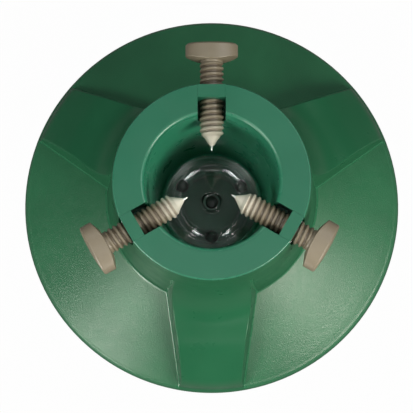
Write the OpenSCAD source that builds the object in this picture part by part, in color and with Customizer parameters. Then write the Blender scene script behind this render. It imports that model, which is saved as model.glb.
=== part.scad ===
// Christmas tree stand: a ribbed skirt with a neck, a deep water well, three clamp
// screws in their own nut blocks, and a turntable on three balls under the trunk.
// The origin is on the floor under the middle of the well, and +Z points up.

/* [Skirt and neck] */
// Diameter of the skirt at the floor
base_d = 457.2; // [430:0.1:550]
// Height of the collar's top above the floor
stand_h = 200; // [175:1:240]
// Height at which the neck rises out of the skirt
neck_foot_z = 70; // [60:1:84]
// How much wider than the collar the neck is where it rises out of the skirt
neck_spread = 15.4; // [12:0.1:24]
// Height of the skirt's upright rim
rim_h = 6; // [4:0.5:9]
// Width of the rim's rounded shoulder
rim_shoulder = 4; // [3:0.5:6]
// Width of the flat foot under the rim
rim_foot_w = 12; // [8:1:18]
// Wall of the skirt and the neck
shell_t = 3; // [2.5:0.1:4]

/* [Ribs] */
// Height of a rib's ridge line above the skirt where it bends down
rib_h = 30; // [24:0.5:36]
// Distance from the rim at which a rib bends down
rib_bend = 56.6; // [46:0.1:70]
// Fall of a rib between the neck and its bend, in degrees
rib_fall_in = 24; // [18:0.5:28]
// Fall of a rib between its bend and its end, in degrees
rib_fall_out = 39.5; // [34:0.5:42]
// Distance from the rim at which a rib ends
rib_end = 5; // [4:0.5:14]
// Half width of a rib at the foot of the neck
rib_half_w = 49.6; // [42:0.1:58]
// Angle by which each side of a rib turns inwards, in degrees
rib_taper = 11.9; // [8:0.1:18]
// Lean of each side of a rib, in degrees
rib_draft = 8.5; // [7:0.1:18]
// How far below the collar's top a rib leaves the neck
rib_drop = 42; // [32:1:50]

/* [Water well] */
// Radius of the collar
collar_r = 106.6; // [104:0.1:112]
// Thickness of the collar
collar_t = 4; // [3:0.1:6]
// Radius of the well's mouth
mouth_r = 72.2; // [70:0.1:76]
// Radius of the well inside at its floor
well_foot_r = 62; // [60:0.5:66]
// Height of the well's floor inside
well_floor_z = 9; // [8:0.5:12]
// Wall of the well
well_t = 3; // [2.4:0.1:4]
// Radius of the mouth's rounded lip
lip_r = 5.2; // [3:0.1:6]
// Height of the straight throat below the lip
throat_h = 7; // [5:0.5:12]

/* [Clamp screws] */
// Height of the screws' axis below the collar's top
bolt_drop = 22; // [20:0.5:26]
// Outer diameter of the thread
bolt_d = 26.1; // [22:0.1:28]
// Pitch of the thread
pitch = 6; // [5:0.5:7]
// Depth of the thread
thread_depth = 1.8; // [1.2:0.1:2.2]
// Length of a screw from its point to the end of its handle, beyond the collar's radius
bolt_reach = 13.9; // [8:0.1:24]
// Distances of the three points from the middle of the well
tip_r = [35.6, 30.1, 24.6];
// Length of the steel point that stands out of a screw
point_len = 5.5; // [4:0.5:8]
// Diameter of the steel point
point_d = 3; // [2.4:0.1:4]
// Length of a screw's tapered nose
nose_len = 13.5; // [11:0.5:16]
// Width of the oval handle
handle_w = 58; // [48:0.5:62]
// Height of the oval handle
handle_h = 32; // [29:0.5:36]
// Thickness of the handle at its ends
handle_edge = 13.2; // [10:0.1:16]
// Height of the cone between the handle and the shank
handle_cone = 5.3; // [3:0.1:9]
// Crown of the handle's outer face
handle_crown = 2; // [0.5:0.5:4]
// Length of the plain shank next to the handle
shank_len = 2.5; // [1:0.5:9]

/* [Nut blocks] */
// Length of a nut block along its screw
block_t = 14.1; // [12:0.1:18]
// Gap on each side of a screw in its slot in the collar
slot_gap = 2.2; // [1:0.1:4]
// How far a nut block reaches past the slot on each side
block_lip = 2.75; // [2:0.05:5]
// How far a nut block lies below the collar's top
block_sink = 0.3; // [0.2:0.1:1.5]
// How far a nut block reaches below the screw's axis
block_below = 22; // [18:0.5:25]

/* [Turntable and bearing] */
// Radius of the turntable
table_r = 57; // [54:0.1:59]
// Thickness of the turntable
table_t = 3.5; // [3:0.1:5]
// Radius of a bearing ball
ball_r = 7.5; // [6:0.1:8]
// Radius of the circle that the balls run on
race_r = 41.3; // [40:0.1:43]
// Height of the turntable's bead over the balls
bead_h = 1; // [0.6:0.1:1.5]
// Radius of the pivot pin
pin_r = 4; // [3:0.1:4.8]
// Radius of the pivot pin's head
pin_head_r = 7.6; // [5.8:0.1:8.2]
// Radius of the washer under the pivot pin's head
washer_r = 9.5; // [8.6:0.1:10]

/* [Clearances] */
// Gap all round a part that turns in a bore
run_gap = 0.05; // [0.03:0.01:0.08]
// Gap between a ball and the races above and below it
ball_gap = 0.15; // [0.1:0.01:0.25]
// Gap between parts that are put together
fit_gap = 0.25; // [0.15:0.05:0.4]

/* [Hidden] */
$fn = 96;
skirt_green = [0.10, 0.36, 0.24];
collar_green = [0.13, 0.45, 0.31];
screw_taupe = [0.52, 0.47, 0.40];
steel = [0.75, 0.76, 0.77];
clear = [0.70, 0.76, 0.74, 0.4];
dark = [0.05, 0.07, 0.06];
bolt_angles = [90, 210, 330];
rib_angles = [30, 150, 270];
screw_angles = [0, 60, 120, 180, 240, 300];
over = 1;

// Skirt and neck, as radii and heights
base_r = base_d / 2;
neck_top_z = stand_h - collar_t;
neck_top_r = collar_r - 0.6;
neck_foot_r = collar_r + neck_spread;
shoulder_z = rim_h + rim_shoulder;
shoulder_r = base_r - rim_shoulder;

function cone_z(r) = neck_foot_z + (shoulder_z - neck_foot_z) * (r - neck_foot_r) / (shoulder_r - neck_foot_r);
function neck_r(z) = neck_foot_r + (neck_top_r - neck_foot_r) * (z - neck_foot_z) / (neck_top_z - neck_foot_z);

// Screws, nut blocks and the slots they sit in
bolt_z = stand_h - bolt_drop;
bolt_r = bolt_d / 2;
nut_bore_r = bolt_r + run_gap;
slot_w = bolt_d + 2 * slot_gap;
block_w = slot_w + 2 * block_lip;
nose_base = point_len + nose_len;
bolt_len = collar_r + bolt_reach;
handle_top = bolt_len - handle_crown;
handle_base = handle_top - handle_edge - handle_cone;
thread_end = handle_base - shank_len;
shelf_z = bolt_z - block_below;
cheek_w = block_w / 2 + fit_gap;
cheek_r = sqrt(pow(neck_top_r - shell_t, 2) - pow(cheek_w + well_t, 2)) - fit_gap;
block_out_r = cheek_r + 0.4;
block_nose_r = neck_top_r - 1;
block_r = block_nose_r - block_t;

// Turntable and bearing, as heights
ball_z = well_floor_z + 5;
groove_r = ball_r + 2 * ball_gap;
floor_groove_z = ball_z + ball_gap;
table_z = ball_z + ball_r + ball_gap;
table_top_z = table_z + table_t;
bead_top_z = table_top_z + bead_h;
hub_top_z = table_top_z - 5;
hub_foot_z = ball_z - 2;
boss_top_z = hub_foot_z - 0.3;
boss_r = 8;
dish_r = washer_r + 1.2;
washer_t = 0.8;
washer_z = hub_top_z + 0.1;
pin_head_z = washer_z + washer_t;
pin_foot_z = well_floor_z - 2.5;
well_under_z = well_floor_z - 4.5;

// Screws that hold the collar on the neck
screw_r = 2;
screw_head_r = 4;
screw_head_h = 3;
screw_ring_r = neck_top_r - shell_t - 5;
collar_boss_h = 10;
neck_boss_h = 14;
screw_split_z = neck_top_z - collar_boss_h;
screw_len = neck_boss_h + collar_boss_h - 2;

// Unit vector at a right angle to the step from a to b, on its left
function left_of(a, b) = [a.y - b.y, b.x - a.x] / norm(b - a);

// The point where path p is moved to its left by t at corner i
function inset_corner(p, i, t) =
    let (n0 = left_of(p[max(i - 1, 0)], p[max(i, 1)]),
        last = len(p) - 1,
        n1 = left_of(p[min(i, last - 1)], p[min(i + 1, last)]))
    p[i] + (n0 + n1) * t / (1 + n0 * n1);

// Path p moved to its left by t, with mitred corners
function inset_path(p, t) = [for (i = [0 : len(p) - 1]) inset_corner(p, i, t)];

// Points along a curve that leaves a towards b and arrives at c from b
function bend(a, b, c, steps) = [for (i = [0 : steps]) let (t = i / steps)
    pow(1 - t, 2) * a + 2 * t * (1 - t) * b + t * t * c];

// Outline of the skirt and the neck, from the floor to the neck's top
skirt_path = concat(
    [[base_r, 0]],
    bend([base_r, rim_h], [base_r, shoulder_z - 0.8], [shoulder_r, cone_z(shoulder_r)], 4),
    [[neck_foot_r, neck_foot_z], [neck_top_r, neck_top_z]]);

// Ridge line of a rib, as distances from the middle and heights
bend_r = base_r - rib_bend;
bend_z = cone_z(bend_r) + rib_h;
end_r = base_r - rib_end;
bend_half = 10;
rib_start = 60;
function ridge_z(r) = bend_z - (r - bend_r) * tan(r > bend_r ? rib_fall_out : rib_fall_in);
ridge_path = concat(
    [[rib_start, ridge_z(rib_start)]],
    bend([bend_r - bend_half, ridge_z(bend_r - bend_half)], [bend_r, bend_z],
        [bend_r + bend_half, ridge_z(bend_r + bend_half)], 5),
    [[base_r, ridge_z(base_r)]]);

// Curve in which a rib sweeps up the neck, and the curve in which it ends
sweep_r = neck_foot_r + 28;
sweep_top = stand_h - rib_drop;
sweep_path = bend([neck_r(sweep_top) - shell_t / 2, sweep_top],
    [neck_foot_r - 2, ridge_z(neck_foot_r - 10)], [sweep_r, ridge_z(sweep_r) - 2], 8);
end_path = bend([end_r - 30, ridge_z(end_r - 30) + 7], [end_r - 1.5, ridge_z(end_r - 1.5) + 2],
    [end_r, shoulder_z + 2], 6);

// Solid of the skirt and the neck, drawn in by the given distance
module skirt_solid(inset) {
    path = inset_path(skirt_path, inset);
    low = inset > 0 ? -over : 0;
    high = inset > 0 ? neck_top_z + over : neck_top_z;
    last = path[len(path) - 1];
    rotate_extrude()
        polygon(concat([[0, low], [path[0].x, low]], path, [[last.x, high], [0, high]]));
}

// Solid on the inner side of one drafted side of a rib along +X
module rib_side(inset) {
    reach = base_r * 2;
    translate([neck_foot_r, rib_half_w, neck_foot_z]) rotate([0, 0, -rib_taper])
        rotate([rib_draft, 0, 0]) translate([-reach, -reach - inset, -reach])
            cube([2 * reach, reach, 2 * reach]);
}

// Solid of one rib along +X, drawn in by the given distance
module rib_solid(inset) {
    low = inset > 0 ? -over : 0.5;
    ridge = inset_path(ridge_path, -inset);
    sweep = inset_path(sweep_path, -inset);
    tail = inset_path(end_path, -inset);
    intersection() {
        union() {
            rotate([90, 0, 0]) translate([0, 0, -base_r / 2]) linear_extrude(base_r)
                polygon(concat([[rib_start, low]], ridge, [[base_r, low]]));
            rotate_extrude()
                polygon(concat([[rib_start, low], [rib_start, sweep[0].y]], sweep, [[sweep_r, low]]));
        }
        rotate_extrude() polygon(concat([[0, low - over], [0, stand_h]], [[tail[0].x, stand_h]], tail,
            [[tail[len(tail) - 1].x, low - over]]));
        rib_side(inset);
        mirror([0, 1, 0]) rib_side(inset);
        translate([rib_start, -base_r, low - over]) cube([base_r, 2 * base_r, stand_h]);
    }
}

// The outer form of the skirt, the neck and the ribs, drawn in by the given distance
module stand_form(inset) {
    skirt_solid(inset);
    for (a = rib_angles) rotate([0, 0, a]) rib_solid(inset);
}

// Passage for a screw along +X: round below the axis, open above it
module saddle_slot(half_w, r0, r1, top) {
    translate([r0, 0, bolt_z]) rotate([0, 90, 0]) cylinder(r = half_w, h = r1 - r0);
    translate([r0, -half_w, bolt_z]) cube([r1 - r0, 2 * half_w, top - bolt_z]);
}

// Upright tube inside the neck that a collar screw goes up through
module neck_boss() {
    top = screw_split_z;
    translate([screw_ring_r, 0, top - neck_boss_h]) cylinder(r = 5, h = neck_boss_h);
    translate([screw_ring_r, -shell_t / 2, top - neck_boss_h])
        cube([neck_r(top - neck_boss_h) - screw_ring_r - shell_t / 2, shell_t, neck_boss_h]);
}

// Green skirt with three ribs and the neck, open below and at the top
module base_shell() {
    color(skirt_green) difference() {
        union() {
            difference() {
                stand_form(0);
                stand_form(shell_t);
            }
            rotate_extrude() polygon([[base_r - rim_foot_w, 0], [base_r - 1, 0],
                [base_r - 1, shell_t], [base_r - rim_foot_w, shell_t]]);
            for (a = screw_angles) rotate([0, 0, a]) neck_boss();
        }
        for (a = bolt_angles) rotate([0, 0, a])
            saddle_slot(slot_w / 2 + fit_gap, 80, neck_foot_r + 10, stand_h);
        for (a = screw_angles) rotate([0, 0, a])
            translate([screw_ring_r, 0, 0]) cylinder(r = screw_r + 0.2, h = stand_h);
    }
}

// Outline of the well's hollow, from the floor to above the mouth
well_fillet = 6;
throat_z = stand_h - lip_r - throat_h;
hollow_path = concat(
    bend([well_foot_r - well_fillet, well_floor_z], [well_foot_r, well_floor_z],
        [well_foot_r + 0.4, well_floor_z + well_fillet], 5),
    [[mouth_r, throat_z]],
    bend([mouth_r, stand_h - lip_r], [mouth_r, stand_h], [mouth_r + lip_r, stand_h], 6));

// Cheeks on both sides of a nut block and the shelf under it, along +X
module nut_pocket() {
    for (s = [-1, 1]) translate([well_foot_r, s * (cheek_w + well_t / 2) - well_t / 2, shelf_z - well_t])
        cube([cheek_r - well_foot_r, well_t, neck_top_z - shelf_z + well_t + 0.5]);
    translate([well_foot_r, -cheek_w - well_t, shelf_z - well_t])
        cube([cheek_r - well_foot_r, 2 * (cheek_w + well_t), well_t]);
}

// Bucket with the flat collar, the three slots and the pockets for the nut blocks
module water_well() {
    outer = inset_path(hollow_path, -well_t);
    edge = 2.6;
    color(collar_green) difference() {
        union() {
            rotate_extrude() polygon([[0, well_under_z], [well_foot_r, well_under_z],
                [well_foot_r + well_t, well_floor_z], [mouth_r + well_t, throat_z],
                [mouth_r + well_t, stand_h - 0.5], [0, stand_h - 0.5]]);
            rotate_extrude() polygon(concat([[mouth_r - 1, stand_h], [mouth_r - 1, neck_top_z],
                [collar_r, neck_top_z]], bend([collar_r, stand_h - edge], [collar_r, stand_h],
                [collar_r - edge, stand_h], 5)));
            rotate_extrude() translate([well_foot_r - 14, 0]) square([8, well_under_z + 1]);
            for (a = bolt_angles) rotate([0, 0, a]) nut_pocket();
            for (a = screw_angles) rotate([0, 0, a]) translate([screw_ring_r, 0, screw_split_z])
                cylinder(r = 4.5, h = collar_boss_h + 0.5);
        }
        difference() {
            rotate_extrude() polygon(concat([[0, well_floor_z]], hollow_path,
                [[mouth_r + lip_r, stand_h + over], [0, stand_h + over]]));
            cylinder(r = boss_r, h = boss_top_z);
        }
        rotate_extrude() translate([race_r, floor_groove_z]) circle(r = groove_r);
        translate([0, 0, pin_foot_z]) cylinder(r = pin_r + run_gap, h = stand_h);
        for (a = bolt_angles) rotate([0, 0, a])
            saddle_slot(slot_w / 2, mouth_r - 20, collar_r + over, stand_h + over);
        for (a = screw_angles) rotate([0, 0, a]) translate([screw_ring_r, 0, screw_split_z - over])
            cylinder(r = screw_r + run_gap, h = screw_len - neck_boss_h + over);
    }
}

// Threaded block that closes the outer end of one slot and carries the screw
module nut_block(angle) {
    nose_w = slot_w / 2 - fit_gap;
    color(collar_green) rotate([0, 0, angle]) difference() {
        union() {
            translate([block_r, -block_w / 2, shelf_z])
                cube([block_out_r - block_r, block_w, neck_top_z - 0.3 - shelf_z]);
            saddle_slot(nose_w, block_r, block_nose_r, stand_h - block_sink);
        }
        translate([block_r - over, 0, bolt_z]) rotate([0, 90, 0])
            cylinder(r = nut_bore_r, h = block_nose_r - block_r + 2 * over);
    }
}

// Puts a piece drawn along +Z from a screw's tip into its place in the stand
module at_bolt(i) {
    rotate([0, 0, bolt_angles[i]]) translate([tip_r[i], 0, bolt_z]) rotate([0, 90, 0]) children();
}

// Half outline of the threaded length, with a ring for each turn of the thread
thread_turns = floor((thread_end - nose_base) / pitch);
thread_start = thread_end - thread_turns * pitch;
root_r = bolt_r - thread_depth;
thread_half = [for (i = [0 : thread_turns - 1]) for (q = [[0, 0], [0.3, 0], [0.46, 1], [0.84, 1]])
    [root_r + q.y * thread_depth, thread_start + (i + q.x) * pitch]];

// Plastic clamp screw with its tapered nose, its thread and its oval handle
module clamp_bolt(i) {
    flank = 60;
    color(screw_taupe) at_bolt(i) difference() {
        union() {
            rotate_extrude() polygon(concat([[0, point_len], [point_d / 2 + 0.6, point_len]],
                [[root_r + 0.9, nose_base]], thread_half,
                [[bolt_r - 0.6, thread_end], [bolt_r - 0.6, handle_base + 1], [0, handle_base + 1]]));
            intersection() {
                rotate_extrude() polygon(concat([[0, handle_base], [handle_h / 2, handle_base],
                    [handle_w / 2, handle_base + handle_cone], [handle_w / 2, handle_top - 1.2]],
                    bend([handle_w / 2 - 1.2, handle_top], [handle_w / 4, bolt_len], [0, bolt_len], 4)));
                translate([handle_h / 2 - flank, 0, handle_base - over])
                    cylinder(r = flank, h = bolt_len, $fn = 180);
                translate([flank - handle_h / 2, 0, handle_base - over])
                    cylinder(r = flank, h = bolt_len, $fn = 180);
            }
        }
        translate([0, 0, point_len - over])
            cylinder(r = point_d / 2 + run_gap, h = over + nose_len - 2 + run_gap);
    }
}

// Steel point that stays still against the trunk while its screw turns
module bolt_point(i) {
    taper = 4.5;
    color(steel) at_bolt(i) rotate_extrude() polygon([[0, 0], [point_d / 2, taper],
        [point_d / 2, point_len + nose_len - 2], [0, point_len + nose_len - 2]]);
}

// Clear round plate that the trunk stands on, with a low bead over the balls, a wide rim and a hub
module turntable() {
    rim_w = 8.5;
    bead_half = 4.4;
    bead_curve = (bead_half * bead_half + bead_h * bead_h) / (2 * bead_h);
    hub_r = dish_r + 2.5;
    bore_r = pin_r + run_gap;
    color(clear) rotate_extrude() difference() {
        union() {
            translate([bore_r, table_z]) square([table_r - bore_r, table_t]);
            translate([table_r - rim_w, table_z]) square([rim_w, bead_top_z - table_z]);
            translate([bore_r, hub_foot_z]) square([hub_r - bore_r, table_z - hub_foot_z + over]);
            intersection() {
                translate([race_r, bead_top_z - bead_curve]) circle(r = bead_curve);
                translate([0, table_z]) square([table_r, table_t + 2 * bead_h]);
            }
        }
        translate([0, hub_top_z]) square([dish_r, bead_top_z - hub_top_z]);
    }
}

// Flat ring that keeps the three balls apart
module ball_cage() {
    cage_w = 2 * ball_r + 1.6;
    cage_t = 3;
    color(dark) difference() {
        translate([0, 0, well_floor_z + 0.4]) rotate_extrude()
            translate([race_r - cage_w / 2, 0]) square([cage_w, cage_t]);
        for (a = rib_angles) rotate([0, 0, a])
            translate([race_r, 0, well_floor_z]) cylinder(r = ball_r + 0.35, h = 2 * cage_t);
    }
}

// One of the three balls that carry the turntable
module bearing_ball(i) {
    color(dark) rotate([0, 0, rib_angles[i]]) translate([race_r, 0, ball_z]) sphere(r = ball_r);
}

// Headed pin that the turntable turns on
module pivot_pin() {
    head_h = 3.6;
    color(dark) rotate_extrude() polygon(concat([[0, pin_foot_z], [pin_r, pin_foot_z],
        [pin_r, pin_head_z], [pin_head_r, pin_head_z]],
        bend([pin_head_r, pin_head_z + 1.6], [pin_head_r - 0.8, pin_head_z + head_h],
            [0, pin_head_z + head_h], 6)));
}

// Thin washer between the pivot pin's head and the turntable
module pivot_washer() {
    color(steel) translate([0, 0, washer_z]) difference() {
        cylinder(r = washer_r, h = washer_t);
        translate([0, 0, -over]) cylinder(r = pin_r + run_gap, h = washer_t + 2 * over);
    }
}

// Screw that comes up through the neck's boss into the collar
module collar_screw(i) {
    color(steel) rotate([0, 0, screw_angles[i]]) translate([screw_ring_r, 0, screw_split_z - neck_boss_h])
        union() {
            translate([0, 0, -screw_head_h]) cylinder(r = screw_head_r, h = screw_head_h);
            cylinder(r = screw_r, h = screw_len);
        }
}

base_shell();
water_well();
nut_block(bolt_angles[0]);  // nut_block_1
nut_block(bolt_angles[1]);  // nut_block_2
nut_block(bolt_angles[2]);  // nut_block_3
clamp_bolt(0);  // clamp_bolt_1
clamp_bolt(1);  // clamp_bolt_2
clamp_bolt(2);  // clamp_bolt_3
bolt_point(0);  // bolt_point_1
bolt_point(1);  // bolt_point_2
bolt_point(2);  // bolt_point_3
turntable();
ball_cage();
bearing_ball(0);  // bearing_ball_1
bearing_ball(1);  // bearing_ball_2
bearing_ball(2);  // bearing_ball_3
pivot_pin();
pivot_washer();
collar_screw(0);  // collar_screw_1
collar_screw(1);  // collar_screw_2
collar_screw(2);  // collar_screw_3
collar_screw(3);  // collar_screw_4
collar_screw(4);  // collar_screw_5
collar_screw(5);  // collar_screw_6
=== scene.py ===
# %% [markdown]
# # A rotating tree stand, part by part
#
# The stand is a round green skirt with three raised ribs and a neck. A deep bucket hangs in the
# neck, three thick plastic screws reach in through its collar, and a clear turntable on three
# balls lies at the bottom. The exact frame gives every place and size. This script adds the
# surfaces: soft fillets, true threads, moulded textures and clear plastic.

# %% Load the frame and keep its box
import math

import bmesh
import bpy
import numpy as np
from mathutils import Matrix, Vector


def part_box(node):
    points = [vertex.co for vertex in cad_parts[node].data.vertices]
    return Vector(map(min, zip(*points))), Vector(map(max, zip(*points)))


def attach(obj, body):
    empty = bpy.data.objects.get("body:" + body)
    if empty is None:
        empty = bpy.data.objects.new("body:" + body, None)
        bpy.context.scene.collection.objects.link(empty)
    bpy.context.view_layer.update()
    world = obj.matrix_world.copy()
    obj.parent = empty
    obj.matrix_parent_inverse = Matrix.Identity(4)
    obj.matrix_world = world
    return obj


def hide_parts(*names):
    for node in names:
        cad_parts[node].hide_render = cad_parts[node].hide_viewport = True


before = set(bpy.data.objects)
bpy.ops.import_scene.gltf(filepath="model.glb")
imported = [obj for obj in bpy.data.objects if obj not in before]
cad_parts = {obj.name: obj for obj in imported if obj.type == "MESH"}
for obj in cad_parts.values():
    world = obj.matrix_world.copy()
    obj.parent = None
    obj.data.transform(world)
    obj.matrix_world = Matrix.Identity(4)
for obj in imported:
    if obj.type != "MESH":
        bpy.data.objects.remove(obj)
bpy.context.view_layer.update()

# %% [markdown]
# ## Sizes
#
# Shapes are drawn in millimetres, as a moulder would draw them, and become metres when a mesh is
# made. Sizes that the frame knows are read from it. The others are the drawing's own values.

# %% Sizes read from the frame, in millimetres
MM = 0.001


def span(node):
    """Lowest and highest corner of one node of the frame, in millimetres."""
    low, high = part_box(node)
    return np.array(low) / MM, np.array(high) / MM


base_r = span("base_shell")[1][0]
neck_top_z = span("base_shell")[1][2]
collar_r = span("water_well")[1][0]
stand_h = span("water_well")[1][2]
table_r = span("turntable")[1][0]
print(f"skirt {base_r:.1f}, collar {collar_r:.1f}, "
      f"height {stand_h:.1f}, turntable {table_r:.1f} mm")

# %% Sizes of the drawing, in millimetres and degrees
wall = 3.0
neck_foot_r, neck_foot_z = 122.0, 70.0
neck_top_r = collar_r - 0.6
shoulder_r, shoulder_z = base_r - 4.0, 10.0
rib_angles = (30.0, 150.0, 270.0)
bolt_angles = (90.0, 210.0, 330.0)
rib_half_w = 49.6
crown = 1.0
rib_taper, rib_draft = math.radians(11.9), math.radians(8.5)
rib_bend_r = base_r - 56.6
rib_fall_in, rib_fall_out = math.radians(24.0), math.radians(39.5)
sweep_top_z = stand_h - 42.0
bolt_z = stand_h - 22.0
bolt_r = 13.05
slot_half = 15.25
mouth_r = 72.2
well_foot_r, well_floor_z = 62.0, 9.0

# %% [markdown]
# ## Camera
#
# The stand is seen from almost straight above, so the camera hangs 1.5 m away at 82.5 degrees.
# A long lens keeps the three screws nearly equal in size. A small shift puts the stand a little
# to the right of the frame's middle and a little above it.

# %% Hang the camera over the stand
scene = bpy.context.scene
scene.view_settings.view_transform = "Standard"
camera_height_angle = math.radians(82.5)
camera_distance = 1.5
image_px = 413.0
focal_px = 1220.5
centre_px = (211.7, 204.8)

camera = bpy.data.objects.new("camera", bpy.data.cameras.new("camera"))
scene.collection.objects.link(camera)
camera.location = (0, -camera_distance * math.cos(camera_height_angle),
                   camera_distance * math.sin(camera_height_angle))
camera.rotation_euler = (math.pi / 2 - camera_height_angle, 0, 0)
camera.data.sensor_width = 36.0
camera.data.lens = focal_px / image_px * camera.data.sensor_width
camera.data.shift_x = (image_px / 2 - centre_px[0]) / image_px
camera.data.shift_y = (centre_px[1] - image_px / 2) / image_px
scene.camera = camera
print(f"lens {camera.data.lens:.1f} mm, shift {camera.data.shift_x:.4f}, {camera.data.shift_y:.4f}")

# %% [markdown]
# ## Light
#
# The key lamp stands in front, on the right. It draws the soft shadows towards the back and the
# pale sheen on the textured panels. Two lamps on the left, a wide one on the right and a small one
# in front soften it, and one above the well lights its bottom. The clear plate is seen by what it
# reflects: the two lamps behind the stand and the two over it show as its bright arcs, and a wide
# faint one overhead makes it a little grey. The world lights the stand only weakly and is white
# to the camera alone.

# %% Eleven soft boxes and the world
def soft_box(name, place, aim, size, power, color):
    """An oblong area lamp at place that faces aim, in metres and watts."""
    lamp = bpy.data.lights.new(name, "AREA")
    lamp.color = color
    lamp.shape = "RECTANGLE"
    lamp.size, lamp.size_y = size
    lamp.energy = power
    holder = bpy.data.objects.new(name, lamp)
    scene.collection.objects.link(holder)
    holder.location = place
    holder.rotation_euler = (Vector(aim) - Vector(place)).to_track_quat("-Z", "Y").to_euler()


def around(azimuth, height_angle, distance):
    """A place at an azimuth and a height angle in degrees, seen from the stand."""
    a, h = math.radians(azimuth), math.radians(height_angle)
    return (distance * math.cos(h) * math.cos(a), distance * math.cos(h) * math.sin(a),
            distance * math.sin(h))


WHITE = (1.0, 1.0, 1.0)
# name: place, height of the aim on the stand's axis, size, power, colour
lamps = {
    "key_box": (around(322, 40, 1.7), 0.05, (0.85, 0.5), 20.2, (1.0, 0.95, 0.86)),
    "left_box": (around(228, 18, 1.2), 0.05, (0.42, 0.25), 4.7, (1.0, 0.97, 0.90)),
    "left_high_box": (around(208, 54, 1.7), 0.1, (0.5, 0.4), 8.0, (1.0, 0.98, 0.93)),
    "right_fill": (around(28, 58, 1.8), 0.1, (0.8, 0.8), 3.5, WHITE),
    "front_box": (around(275, 34, 1.8), 0.05, (0.35, 0.12), 0.5, WHITE),
    "rear_right_box": (around(60, 60.5, 1.8), 0.1, (0.3, 0.14), 1.1, WHITE),
    "rear_left_box": (around(120, 60.5, 1.8), 0.1, (0.3, 0.14), 1.2, WHITE),
    "crown_right_box": ((0.18, -0.02, 1.9), 0.1, (0.16, 0.12), 0.62, WHITE),
    "crown_left_box": ((-0.18, -0.02, 1.9), 0.1, (0.16, 0.12), 0.62, WHITE),
    "well_box": (around(270, 76, 1.9), 0.1, (0.3, 0.2), 0.7, WHITE),
    "ceiling_box": (around(90, 82, 1.9), 0.1, (0.6, 0.6), 0.075, (0.76, 1.0, 0.80)),
}
for name, (lamp_place, aim_z, size, power, color) in lamps.items():
    soft_box(name, lamp_place, (0, 0, aim_z), size, power, color)

white_level = 0.985


def white_to_camera(tree, plain, white, output, share=None):
    """Shows a white shader to the camera, or a share of it, and a plain one to the rest."""
    path = tree.nodes.new("ShaderNodeLightPath")
    mixer = tree.nodes.new("ShaderNodeMixShader")
    amount = path.outputs["Is Camera Ray"]
    if share is not None:
        part = tree.nodes.new("ShaderNodeMath")
        part.operation = "MULTIPLY"
        part.inputs[1].default_value = share
        tree.links.new(amount, part.inputs[0])
        amount = part.outputs["Value"]
    tree.links.new(amount, mixer.inputs["Fac"])
    tree.links.new(plain, mixer.inputs[1])
    tree.links.new(white, mixer.inputs[2])
    tree.links.new(mixer.outputs["Shader"], output.inputs["Surface"])


world = bpy.data.worlds.new("studio")
scene.world = world
world.use_nodes = True
sky_tree = world.node_tree
dim_sky = sky_tree.nodes["Background"]
dim_sky.inputs["Color"].default_value = (0.93, 0.95, 1.0, 1)
dim_sky.inputs["Strength"].default_value = 0.072
white_sky = sky_tree.nodes.new("ShaderNodeBackground")
white_sky.inputs["Color"].default_value = (*WHITE, 1)
white_sky.inputs["Strength"].default_value = white_level
white_to_camera(sky_tree, dim_sky.outputs["Background"], white_sky.outputs["Background"],
                sky_tree.nodes["World Output"])

# %% [markdown]
# ## Material nodes
#
# Moulded plastic is one colour all through. What makes it real is the surface: a fine spark-eroded
# texture on the panels, a smooth finish on the ribs, and faint flow marks everywhere. A few
# helpers join the noise, ramp and bump nodes, so that each finish below stays short.

# %% Helpers for materials
def new_material(name, color, roughness, **sockets):
    """A Principled material, with its shader and its node tree."""
    material = bpy.data.materials.new(name)
    material.use_nodes = True
    tree = material.node_tree
    shader = tree.nodes["Principled BSDF"]
    shader.inputs["Base Color"].default_value = (*color, 1)
    shader.inputs["Roughness"].default_value = roughness
    for socket, value in sockets.items():
        shader.inputs[socket.replace("_", " ")].default_value = value
    material.diffuse_color = (*color, 1)
    return material, shader, tree


def noise(tree, scale, detail=3.0, distortion=0.0):
    """Noise in the object's own space; scale counts cells per metre."""
    where = tree.nodes.new("ShaderNodeTexCoord")
    cells = tree.nodes.new("ShaderNodeTexNoise")
    cells.inputs["Scale"].default_value = scale
    cells.inputs["Detail"].default_value = detail
    cells.inputs["Roughness"].default_value = 0.55
    cells.inputs["Distortion"].default_value = distortion
    tree.links.new(where.outputs["Object"], cells.inputs["Vector"])
    return cells.outputs["Fac"]


def ramp(tree, value, low, high, start=0.35, stop=0.65):
    """Turns a value into a colour between low and high."""
    colors = tree.nodes.new("ShaderNodeValToRGB")
    colors.color_ramp.elements[0].position = start
    colors.color_ramp.elements[1].position = stop
    colors.color_ramp.elements[0].color = (*low, 1)
    colors.color_ramp.elements[1].color = (*high, 1)
    tree.links.new(value, colors.inputs["Fac"])
    return colors.outputs["Color"]


def spread(tree, value, low, high):
    """Maps the middle part of a noise value onto low to high."""
    mapped = tree.nodes.new("ShaderNodeMapRange")
    mapped.inputs["From Min"].default_value = 0.3
    mapped.inputs["From Max"].default_value = 0.7
    mapped.inputs["To Min"].default_value = low
    mapped.inputs["To Max"].default_value = high
    tree.links.new(value, mapped.inputs["Value"])
    return mapped.outputs["Result"]


def bump(tree, height, depth):
    """A bump of a height value, with its depth in metres."""
    node = tree.nodes.new("ShaderNodeBump")
    node.inputs["Strength"].default_value = 1.0
    node.inputs["Distance"].default_value = depth
    tree.links.new(height, node.inputs["Height"])
    return node.outputs["Normal"]


def times(tree, one, other):
    """Two colours multiplied with each other."""
    product = tree.nodes.new("ShaderNodeVectorMath")
    product.operation = "MULTIPLY"
    tree.links.new(one, product.inputs[0])
    tree.links.new(other, product.inputs[1])
    return product.outputs["Vector"]


def attribute(tree, name):
    """A number that the mesh carries at each of its points."""
    reader = tree.nodes.new("ShaderNodeAttribute")
    reader.attribute_name = name
    return reader.outputs["Fac"]


def tint(color, factor):
    """The same colour, lighter or darker."""
    return tuple(min(1.0, c * factor) for c in color)


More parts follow.
